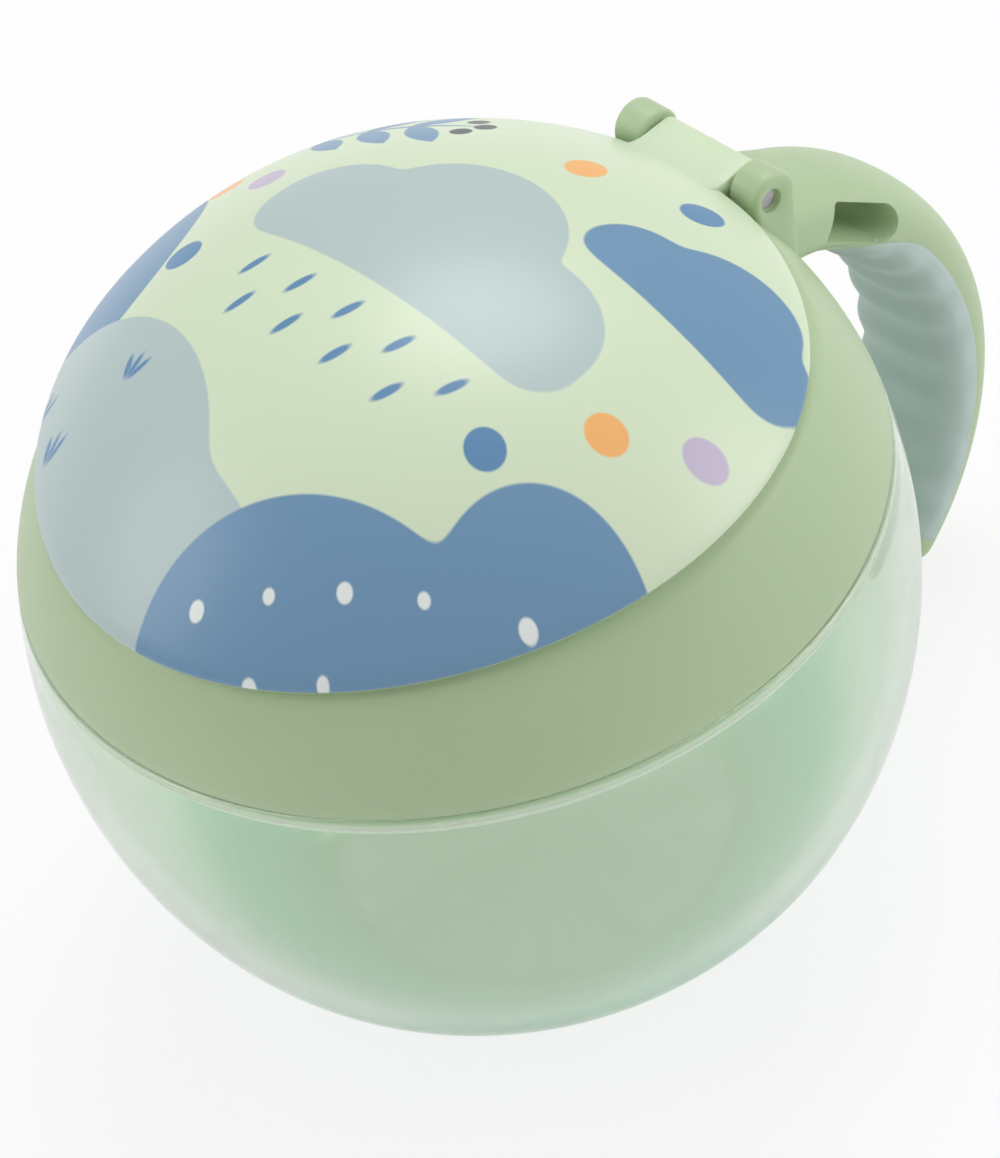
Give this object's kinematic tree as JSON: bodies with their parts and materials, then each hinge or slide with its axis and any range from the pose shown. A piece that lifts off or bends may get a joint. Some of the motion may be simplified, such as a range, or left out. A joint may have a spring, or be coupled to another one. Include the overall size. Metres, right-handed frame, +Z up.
{
  "type": "toddler snack container",
  "caption": "Round see-through snack bowl with a turn-off collar, soft hand flaps, a domed flip lid on a pin hinge, and a carrying arm with a ribbed soft grip.",
  "frame": {"origin": "centre of the bowl's flat base, on the table", "axes": "+Z up along the bowl's axis; +Y towards the hinge and the carrying arm; X across, along the hinge pin"},
  "size_m": [0.1028, 0.129, 0.0937],
  "materials": {
    "clear_bowl": "translucent mint polypropylene with a soft gloss",
    "sage_plastic": "sage green, satin",
    "pale_green_plastic": "pale green, satin",
    "print_film": "printed film, satin",
    "grip_rubber": "soft matte grey-green",
    "flap_rubber": "soft silicone, matte",
    "seal_rubber": "soft silicone, matte",
    "pin_steel": "plain drawn wire"
  },
  "bodies": {
    "bowl": {"bowl": "clear_bowl"},
    "seal": {"seal_ring": "seal_rubber"},
    "collar": {"collar": "sage_plastic", "flap_ring": "flap_rubber", "flap_clamp_ring": "sage_plastic", "hinge_pin": "pin_steel", "handle_arm": "sage_plastic", "handle_grip": "grip_rubber"},
    "lid": {"lid_dome": "pale_green_plastic", "lid_print_film": "print_film", "lid_inner_cover": "pale_green_plastic"},
    "flap_1": {"flap_petal_1": "flap_rubber"},
    "flap_2": {"flap_petal_2": "flap_rubber"},
    "flap_3": {"flap_petal_3": "flap_rubber"},
    "flap_4": {"flap_petal_4": "flap_rubber"},
    "flap_5": {"flap_petal_5": "flap_rubber"},
    "flap_6": {"flap_petal_6": "flap_rubber"},
    "flap_7": {"flap_petal_7": "flap_rubber"},
    "flap_8": {"flap_petal_8": "flap_rubber"}
  },
  "joints": [
    {"name": "collar_lift", "type": "slide", "parent": "bowl", "child": "seal", "axis": [0, 0, 1], "range_m": [0, 0.003]},
    {"name": "collar_twist", "type": "hinge", "parent": "seal", "child": "collar", "pos_m": [0, 0, 0.0565], "axis": [0, 0, 1], "range_deg": [0, 60]},
    {"name": "lid_hinge", "type": "hinge", "parent": "collar", "child": "lid", "pos_m": [0, 0.04402, 0.07518], "axis": [-1, 0, 0], "range_deg": [0, 120]},
    {"name": "flap_1_fold", "type": "hinge", "parent": "collar", "child": "flap_1", "pos_m": [0.0305, 0, 0.06555], "axis": [0, -1, 0], "range_deg": [-25, 60], "stiffness_Nm_per_rad": 0.004},
    {"name": "flap_2_fold", "type": "hinge", "parent": "collar", "child": "flap_2", "pos_m": [0.02157, 0.02157, 0.06555], "axis": [0.7071, -0.7071, 0], "range_deg": [-25, 60], "stiffness_Nm_per_rad": 0.004},
    {"name": "flap_3_fold", "type": "hinge", "parent": "collar", "child": "flap_3", "pos_m": [0, 0.0305, 0.06555], "axis": [1, 0, 0], "range_deg": [-25, 60], "stiffness_Nm_per_rad": 0.004},
    {"name": "flap_4_fold", "type": "hinge", "parent": "collar", "child": "flap_4", "pos_m": [-0.02157, 0.02157, 0.06555], "axis": [0.7071, 0.7071, 0], "range_deg": [-25, 60], "stiffness_Nm_per_rad": 0.004},
    {"name": "flap_5_fold", "type": "hinge", "parent": "collar", "child": "flap_5", "pos_m": [-0.0305, 0, 0.06555], "axis": [0, 1, 0], "range_deg": [-25, 60], "stiffness_Nm_per_rad": 0.004},
    {"name": "flap_6_fold", "type": "hinge", "parent": "collar", "child": "flap_6", "pos_m": [-0.02157, -0.02157, 0.06555], "axis": [-0.7071, 0.7071, 0], "range_deg": [-25, 60], "stiffness_Nm_per_rad": 0.004},
    {"name": "flap_7_fold", "type": "hinge", "parent": "collar", "child": "flap_7", "pos_m": [0, -0.0305, 0.06555], "axis": [-1, 0, 0], "range_deg": [-25, 60], "stiffness_Nm_per_rad": 0.004},
    {"name": "flap_8_fold", "type": "hinge", "parent": "collar", "child": "flap_8", "pos_m": [0.02157, -0.02157, 0.06555], "axis": [-0.7071, -0.7071, 0], "range_deg": [-25, 60], "stiffness_Nm_per_rad": 0.004}
  ],
  "couplings": [
    {"joint": "collar_lift", "follows": "collar_twist", "m_per_rad": 0.002864}
  ]
}
